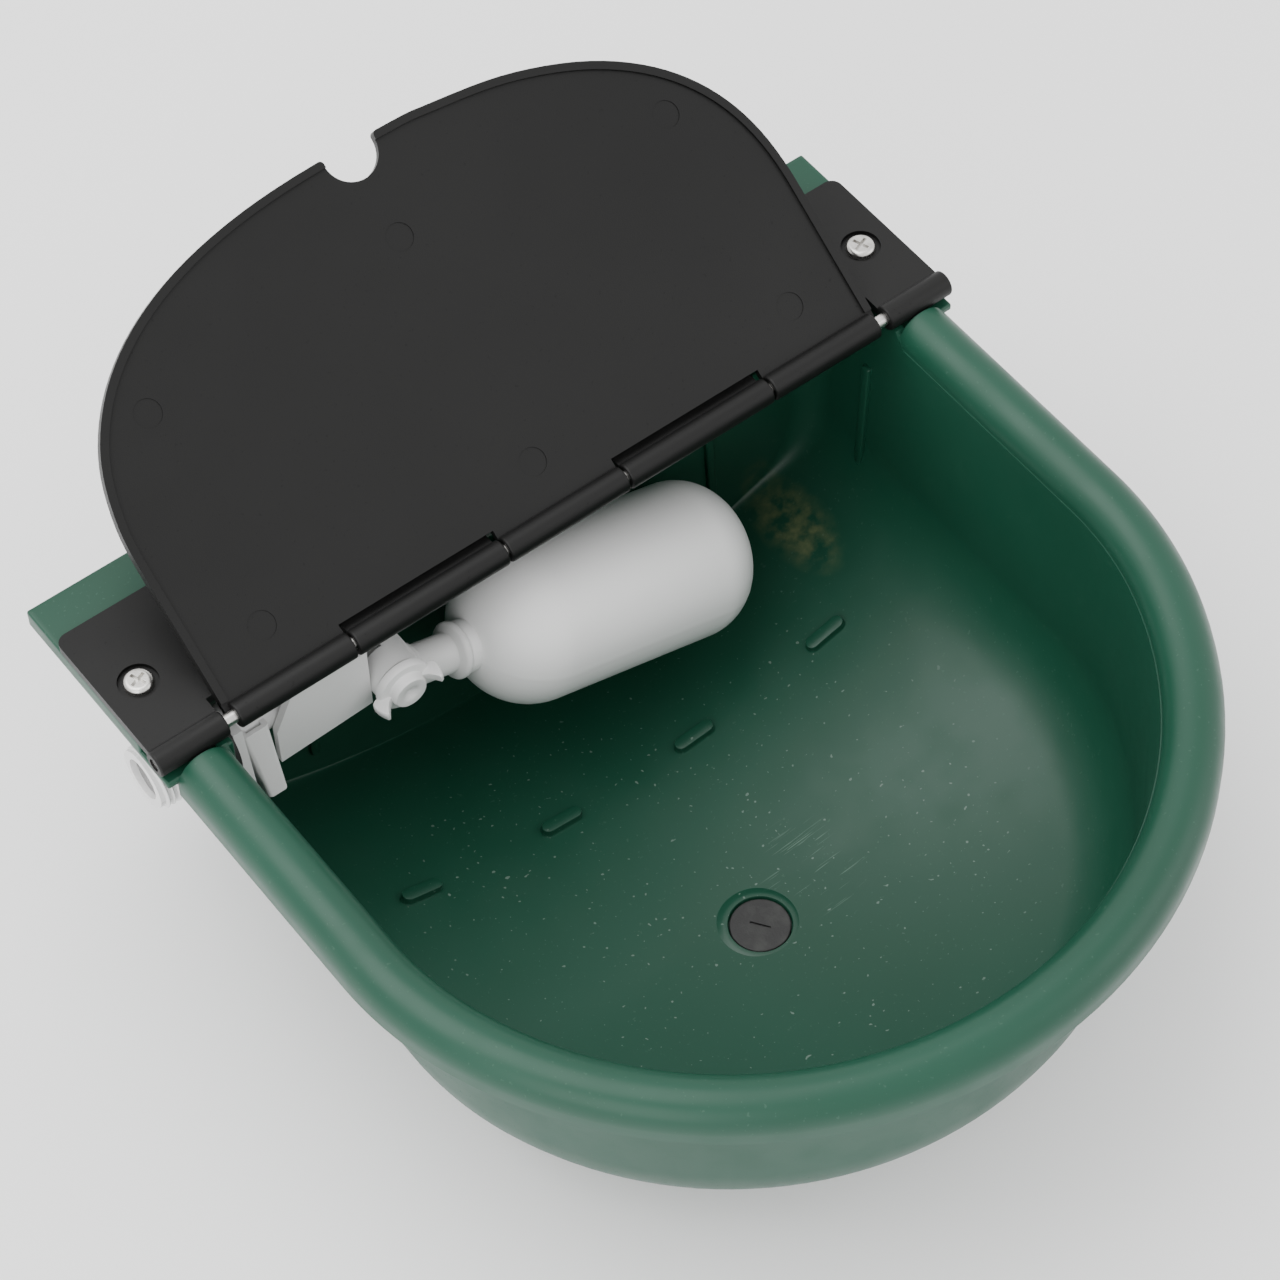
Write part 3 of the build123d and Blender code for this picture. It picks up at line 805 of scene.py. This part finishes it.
    def build_shelf(self) -> bpy.types.Object:
        """The shelf, its skirt, bosses and ribs, and the plate that meets the wall.

        Returns:
            The shelf.
        """
        half = 139.2
        top = HINGE_Z - 1.0
        low = HINGE_Z - 7.5
        back = HINGE_Y + 67.0
        channel = HINGE_Z - 5.0
        plate_low = HINGE_Z - 70.0
        edge = 0.7
        form = bmesh.new()
        rounded_block(form, (-half, HINGE_Y + 9.2, top - 3.0), (half, back, top), edge)
        plate = self.wall_plate_half
        rounded_block(form, (-plate, back - 4.0, plate_low), (plate, back, top), edge)
        rounded_block(form, (-half, back - 2.5, low), (half, back, top), edge)
        for side in (-1, 1):
            outer = sorted((side * half, side * (half - 2.5)))
            rounded_block(form, (outer[0], self.shelf_y, low), (outer[1], back, channel), edge)
            rounded_block(form, (outer[0], HINGE_Y + 9.2, low), (outer[1], back, top), edge)
            ledge = sorted((side * half, side * 118.9))
            rounded_block(form, (ledge[0], self.shelf_y, low),
                          (ledge[1], HINGE_Y + 11.0, channel), edge)
            rib = side * 70.0
            rounded_block(form, (rib - 2.0, self.back_y + 1.0, plate_low),
                          (rib + 2.0, back - 1.0, top - 1), edge)
            boss = Matrix.Translation((side * 128.4, HINGE_Y + 25.1, 0))
            turned(form, ((2.1, HINGE_Z - 9.5), (4.4, HINGE_Z - 9.5), (5.0, HINGE_Z - 8.9),
                          (5.0, top - 1), (2.1, top - 1), (2.1, HINGE_Z - 9.5)), boss, 32)
        rounded_block(form, (-123.0, HINGE_Y - 3.5, HINGE_Z - 33.5),
                      (-116.5, HINGE_Y + 24.5, HINGE_Z - 5.5), 1.0)
        shelf = to_object("shelf", form, 35)
        drill = bmesh.new()
        for x in (-100.0, 100.0):
            lie = Matrix.Translation((x, 0, HINGE_Z - 46.0)) @ Matrix.Rotation(-pi / 2, 4, "X")
            turned(drill, ((AXIS_R, back - 10), (4.5, back - 10), (4.5, back + 5), (AXIS_R, back + 5)),
                   lie, 40)
        lie = Matrix.Translation((0, INLET_Y, INLET_Z)) @ Matrix.Rotation(pi / 2, 4, "Y")
        turned(drill, ((AXIS_R, -130), (10.8, -130), (10.8, -110), (AXIS_R, -110)), lie, 48)
        bmesh.ops.remove_doubles(drill, verts=drill.verts, dist=0.000005)
        drilled(shelf, drill)
        shelf.data.set_sharp_from_angle(angle=radians(35))
        return shelf

    def floor_at(self, x: float) -> float:
        """Height of the dished floor beside the middle plane."""
        return self.floor_z + self.dish_r - sqrt(self.dish_r ** 2 - x ** 2)

    def build_rests(self) -> bpy.types.Object:
        """The four oblong rests on the floor, square to the dish.

        Returns:
            The rests.
        """
        form = bmesh.new()
        for x in (-76.1, -25.2, 25.2, 76.1):
            tilt = -atan2(x, self.dish_r - 1)
            place = Matrix.Translation((x, HINGE_Y - 25.5, self.floor_at(x))) @ Matrix.Rotation(tilt, 4, "Y")
            outline = arc((4.9, 0), 1.0, -90, 90, 10) + arc((-4.9, 0), 1.0, 90, 270, 10)
            loops = []
            for radius, rise in ((2.6, -3.0), (2.6, 0.0), (2.2, 0.35), (2.1, 0.7), (2.1, 2.3),
                                 (2.0, 2.52), (1.8, 2.6), (0.01, 2.6)):
                ring = []
                for px, py in outline:
                    centre = 4.9 if px > 0 else -4.9
                    ring.append(tuple(place @ Vector((centre + (px - centre) * radius, py * radius, rise))))
                loops.append(ring)
            skin_loops(form, loops, True)
        bmesh.ops.remove_doubles(form, verts=form.verts, dist=0.000015)
        return to_object("float_rests", form, 40)

    def build_ribs(self) -> bpy.types.Object:
        """The upright ribs on the side walls and the back wall.

        Returns:
            The ribs.
        """
        form = bmesh.new()
        lean = tan(radians(self.draft))
        proud = 1.6
        sunk = 1.6
        side_low, back_low = HINGE_Z - 72.0, HINGE_Z - 86.0
        wall_x = self.rim_half - self.rim_r - 72.0 * lean
        side_y = HINGE_Y + 6.5
        for side, top in ((-1, HINGE_Z - 33.5), (1, HINGE_Z - 28.0)):
            near, far = sorted((side * (wall_x - proud), side * (wall_x + sunk)))
            rounded_block(form, (near, side_y - 1.6, side_low), (far, side_y + 1.6, top), 0.6)
        for vert in form.verts:
            outward = 1 if vert.co.x > 0 else -1
            vert.co.x += outward * (vert.co.z - side_low * MM) * lean
        upright = set(form.verts)
        wall_y = self.back_y - 86.0 * lean
        for x in (-75.0, 75.0):
            rounded_block(form, (x - 1.5, wall_y - proud, back_low),
                          (x + 1.5, wall_y + sunk, HINGE_Z - 38.0), 0.6)
        for vert in set(form.verts) - upright:
            vert.co.y += (vert.co.z - back_low * MM) * lean
        return to_object("guide_ribs", form, 40)

    def build_drain_seat(self) -> bpy.types.Object:
        """The raised ring and well that the plug sits in.

        Returns:
            The seat.
        """
        form = bmesh.new()
        place = Matrix.Translation((0, DRAIN_Y, 0))
        base = self.floor_z
        profile = ((8.8, 0.8), (8.8, base - 1.4), (9.5, base - 1.3), (9.5, base + 0.75), (9.75, base + 1.05),
                   (10.6, base + 1.1), (11.5, base + 0.9), (12.6, base + 0.35),
                   (13.4, base + 0.05), (13.4, 0.8),
                   (8.8, 0.8))
        turned(form, profile, place, 72)
        bmesh.ops.remove_doubles(form, verts=form.verts, dist=0.00001)
        return to_object("drain_seat", form, 40)

    def build_foot(self) -> bpy.types.Object:
        """The round foot under the dish.

        Returns:
            The foot.
        """
        form = bmesh.new()
        r = self.foot_r
        inner = r - 4.0
        profile = ((r, 9.5), (r, 0.8), (r - 0.3, 0.2), (r - 0.9, 0.0), (inner, 0.0), (inner - 0.8, 0.8),
                   (inner - 0.8, 9.0), (r, 9.5))
        turned(form, profile, Matrix.Identity(4), 128)
        bmesh.ops.remove_doubles(form, verts=form.verts, dist=0.00001)
        return to_object("foot", form, 40)

    def build(self) -> None:
        """Make every green piece."""
        makers = (self.build_basin, self.build_roll, self.build_shelf, self.build_rests,
                  self.build_ribs, self.build_drain_seat, self.build_foot)
        for make in makers:
            settle(make(), "trough", "moulded_green", ("trough_shell",), self.finishes)


@dataclass
class HingedCover:
    """The black leaves, their pin and screws."""

    finishes: Finishes

    def build(self) -> None:
        """Make the cover and the fixed leaf, and dress the steel."""
        lid = softened("cover", "cover_moulding", Edge.SOFT)
        settle(lid, "cover", "cover_black", ("cover",), self.finishes)
        leaf = softened("hinge_plate", "hinge_leaf", Edge.SOFT)
        settle(leaf, "trough", "cover_black", ("hinge_plate",), self.finishes)
        screws = softened("plate_screws", "pan_screws", Edge.CRISP)
        settle(screws, "trough", "stainless", ("plate_screws",), self.finishes)
        self.finishes.dress(frame["nodes"]["hinge_pin"], "stainless")


@dataclass
class FloatValve:
    """The white valve with its lever, elbow and wing screw, in millimetres."""

    finishes: Finishes
    crest_r: float = 10.48
    root_r: float = 9.30
    pitch: float = 1.814
    turns: float = 9.5
    thread_start: float = -139.3

    def root(self, point: Vector) -> Vector:
        """Bring the plain inlet in to the thread's root.

        Args:
            point: a point of the valve body, in metres.

        Returns:
            The point, moved if it is on the inlet's outside.
        """
        centre = Vector((point.x, HINGE.y + INLET_BACK * MM, HINGE.z - INLET_DROP * MM))
        out = point - centre
        if point.x < -114.6 * MM and out.length > 8.0 * MM:
            return centre + out * (self.root_r * MM / out.length)
        return point

    def build_thread(self) -> bpy.types.Object:
        """The helical ridge on the inlet.

        Returns:
            The thread.
        """
        form = bmesh.new()
        steps = 64
        loops = []
        total = int(self.turns * steps)
        for i in range(total + 1):
            turn = 2 * pi * i / steps
            fade = min(1.0, i / 20, (total - i) / 20)
            height = (self.crest_r - self.root_r) * fade
            x = self.thread_start + 1.0 + self.pitch * i / steps
            ring = []
            for along, rise in ((-0.82, -0.25), (-0.45, 0.3), (-0.2, 0.93), (0.0, 1.0), (0.2, 0.93),
                                (0.45, 0.3), (0.82, -0.25)):
                radius = self.root_r + height * rise
                ring.append((x + along, INLET_Y + radius * cos(turn), INLET_Z + radius * sin(turn)))
            loops.append(ring)
        skin_loops(form, loops, False)
        bmesh.ops.holes_fill(form, edges=[e for e in form.edges if e.is_boundary], sides=0)
        return to_object("inlet_thread", form, 60)

    def build_wing_screw(self) -> bpy.types.Object:
        """The thumb screw with its dished cap and two upright wings.

        Returns:
            The screw.
        """
        axis = joint_place("elbow_pivot") / MM
        face = HINGE_Y - 1.7
        lie = Matrix.Translation((axis.x, face, axis.z)) @ Matrix.Rotation(pi / 2, 4, "X")
        form = bmesh.new()
        profile = ((0.01, 0.0), (8.2, 0.0), (8.7, 0.5), (8.7, 2.3), (8.2, 2.9), (6.1, 3.2), (5.7, 3.8),
                   (5.6, 5.2),
                   (5.1, 5.9), (3.2, 6.0), (2.2, 5.6), (1.4, 4.9), (0.01, 4.6))
        turned(form, profile, lie, 64)
        shank = ((0.01, -15.0), (2.95, -15.0), (2.95, 0.1), (0.01, 0.1))
        turned(form, shank, lie, 40)
        for flip in (0, pi):
            spin = lie @ Matrix.Rotation(flip + radians(9), 4, "Z")
            outline = [(4.2, 1.2), (6.0, 1.0), (8.0, 1.1), (9.6, 1.3), (10.7, 1.9), (11.2, 3.0), (11.1, 4.6),
                       (10.6, 6.4), (9.9, 7.9), (9.2, 8.1), (8.0, 6.2), (7.0, 4.9), (5.6, 4.2), (4.2, 3.8)]
            loops = []
            for across, share in ((-1.6, 0.90), (-1.3, 0.97), (-0.8, 1.0), (0.8, 1.0), (1.3, 0.97),
                                  (1.6, 0.90)):
                ring = []
                for x, rise in outline:
                    ring.append(tuple(spin @ Vector((7.6 + (x - 7.6) * share, across,
                                                     4.0 + (rise - 4.0) * share))))
                loops.append(ring)
            base = len(form.verts)
            skin_loops(form, loops, True)
            form.verts.ensure_lookup_table()
            count = len(outline)
            form.faces.new([form.verts[base + i] for i in range(count)])
            form.faces.new([form.verts[base + 5 * count + i] for i in range(count)])
        bmesh.ops.remove_doubles(form, verts=form.verts, dist=0.00001)
        return to_object("wing_screw_head", form, 42)

    def build(self) -> None:
        """Make the valve's pieces."""
        white = "valve_white"
        body = softened("valve_body", "valve_moulding", Edge.SOFT, self.root)
        settle(body, "trough", white, ("valve_body",), self.finishes)
        settle(self.build_thread(), "trough", white, ("valve_body",), self.finishes)
        nut = softened("inlet_locknut", "ring_nut", Edge.SOFT)
        settle(nut, "trough", white, ("inlet_locknut",), self.finishes)
        lever = softened("float_lever", "lever_moulding", Edge.ROUND)
        settle(lever, "lever", white, ("float_lever",), self.finishes)
        settle(softened("clamp_nut", "elbow_nut", Edge.CRISP), "lever", white, ("clamp_nut",), self.finishes)
        elbow = softened("arm_elbow", "elbow_moulding", Edge.ROUND)
        settle(elbow, "float_arm", white, ("arm_elbow",), self.finishes)
        settle(self.build_wing_screw(), "wing", white, ("wing_screw",), self.finishes)
        for node, slot in (("nozzle_insert", white), ("piston", white), ("piston_seal", "rubber_black"),
                           ("inlet_gasket", "rubber_black"), ("lever_pin", "stainless"),
                           ("pin_clip", "stainless")):
            self.finishes.dress(frame["nodes"][node], slot)


@dataclass
class BottleFloat:
    """The white bottle and its stem, in millimetres."""

    finishes: Finishes
    radius: float = 24.5
    length: float = 100.0
    droop: float = 16.5
    shoulder: float = 23.5
    end_round: float = 18.0
    stem_r: float = 6.2

    def axis(self) -> Matrix:
        """Takes +Z to the float's axis, in millimetres.

        Returns:
            The placing matrix.
        """
        start = Vector((-34.2, HINGE_Y + 6.0, HINGE_Z - 41.3))
        tilt = Matrix.Rotation(pi / 2 + radians(self.droop), 4, "Y")
        return Matrix.Translation(start) @ tilt

    def build_bottle(self) -> bpy.types.Object:
        """The blown bottle with its mould seam.

        Returns:
            The bottle.
        """
        neck = self.stem_r + 1.9
        shoulder_x = self.radius - self.shoulder
        start = 180 / pi * atan2(sqrt(self.shoulder ** 2 - (neck - shoulder_x) ** 2), neck - shoulder_x)
        profile = [(self.stem_r + 0.05, -2.4), (neck - 0.5, -2.4), (neck, -1.9)]
        for x, y in arc((shoulder_x, self.shoulder), self.shoulder, -start, 0, 26):
            profile.append((x, y))
        profile += [(self.radius, self.shoulder + i * 5.0) for i in range(1, 11)]
        end_x = self.radius - self.end_round
        profile += arc((end_x, self.length - self.end_round), self.end_round, 0, 90, 22)
        profile += [(end_x * 0.5, self.length - 0.02), (0.01, self.length - 0.05)]
        form = bmesh.new()
        place = self.axis()
        turned(form, profile, place, 144)
        bmesh.ops.remove_doubles(form, verts=form.verts, dist=0.00001)
        back = place.inverted()
        seam = 0.10
        for vert in form.verts:
            local = back @ (vert.co / MM)
            reach = hypot(local.x, local.y)
            if reach > 2 and abs(local.x) < 0.5 and local.z > 0:
                grow = 1 + seam / reach
                moved = Vector((local.x * grow, local.y * grow, local.z))
                vert.co = (place @ moved) * MM
        return to_object("bottle", form, 60)

    def build_stem(self) -> bpy.types.Object:
        """The stem with a rounded collar at the bottle's neck.

        Returns:
            The stem.
        """
        r = self.stem_r
        form = bmesh.new()
        profile = ((0.01, -18.6), (r, -18.6), (r, -6.0), (r + 0.5, -5.6), (r + 2.1, -5.1), (r + 2.6, -4.4),
                   (r + 2.6, -3.3), (r + 2.1, -2.6), (r, -2.3), (r, 5.6), (r - 0.4, 6.0), (0.01, 6.0))
        turned(form, profile, self.axis(), 72)
        bmesh.ops.remove_doubles(form, verts=form.verts, dist=0.00001)
        return to_object("stem", form, 40)

    def build(self) -> None:
        """Make the bottle and the stem."""
        settle(self.build_bottle(), "float_arm", "float_white", ("float_bottle",), self.finishes)
        settle(self.build_stem(), "float_arm", "valve_white", ("float_stem",), self.finishes)


@dataclass
class Drain:
    """The rubber plug in the floor."""

    finishes: Finishes

    def build(self) -> None:
        """Make the plug."""
        plug = softened("drain_plug", "rubber_plug", Edge.CRISP)
        settle(plug, "plug", "rubber_black", ("drain_plug",), self.finishes)


@dataclass
class Studio:
    """The floor, the lights and the camera, in metres."""

    azimuth: float = -35.292
    elevation: float = 54.056
    roll: float = -2.331
    slide_right: float = 0.021448
    slide_up: float = -0.035779
    distance: float = 1.210032
    lens: float = 119.57

    def build_floor(self) -> None:
        """A wide pale floor under the foot."""
        form = bmesh.new()
        bmesh.ops.create_grid(form, x_segments=8, y_segments=8, size=4.0)
        floor = to_object("studio_floor", form)
        shader = Shader("pale_floor")
        cloud = shader.ramp(shader.noise(3.0, 2.0), 0.3, 0.7)
        shader.set("Base Color", shader.blend(Blend.MIX, cloud, (0.96, 0.96, 0.96, 1), (0.94, 0.94, 0.94, 1)))
        shader.set("Roughness", 0.9)
        floor.data.materials.append(shader.material)

    def add_light(self, name: str, place: Point, size: float, power: float) -> None:
        """Add a soft square light that looks at the bowl.

        Args:
            name: the light's name.
            place: where it hangs.
            size: its side.
            power: its power in watts.
        """
        data = bpy.data.lights.new(name, "AREA")
        data.size = size
        data.energy = power
        lamp = bpy.data.objects.new(name, data)
        lamp.location = place
        lamp.rotation_euler = (-Vector(place)).to_track_quat("-Z", "Y").to_euler()
        bpy.context.scene.collection.objects.link(lamp)

    def build_camera(self) -> None:
        """The camera, placed from the hinge."""
        turn, rise, tip = radians(self.azimuth), radians(self.elevation), radians(self.roll)
        back = Vector((sin(turn) * cos(rise), -cos(turn) * cos(rise), sin(rise)))
        level = Vector((cos(turn), sin(turn), 0))
        upright = back.cross(level)
        right = cos(tip) * level + sin(tip) * upright
        up = -sin(tip) * level + cos(tip) * upright
        place = HINGE + self.distance * back + self.slide_right * right + self.slide_up * up
        data = bpy.data.cameras.new("camera")
        data.lens = self.lens
        data.sensor_width = 36.0
        camera = bpy.data.objects.new("camera", data)
        turned_to = Matrix((right, up, back)).transposed().to_4x4()
        camera.matrix_world = Matrix.Translation(place) @ turned_to
        bpy.context.scene.collection.objects.link(camera)
        bpy.context.scene.camera = camera

    def build(self) -> None:
        """Set up the studio."""
        self.build_floor()
        self.add_light("over", (-0.5, 0.5, 1.7), 1.7, 28.0)
        self.add_light("left_front", (-1.5, -0.9, 0.9), 1.3, 13.0)
        self.add_light("right_front", (1.4, -1.1, 1.0), 1.2, 6.0)
        world = bpy.data.worlds.new("studio_air")
        world.use_nodes = True
        sky = world.node_tree.nodes["Background"]
        sky.inputs["Color"].default_value = (1.0, 1.0, 1.0, 1.0)
        sky.inputs["Strength"].default_value = 1.5
        bpy.context.scene.world = world
        self.build_camera()


def main() -> None:
    """Build the trough and its studio, in order."""
    logging.basicConfig(level=logging.INFO)
    finishes = Finishes()
    Studio().build()
    for assembly in (Bowl, HingedCover, FloatValve, BottleFloat, Drain):
        assembly(finishes).build()


if __name__ == "__main__":
    main()
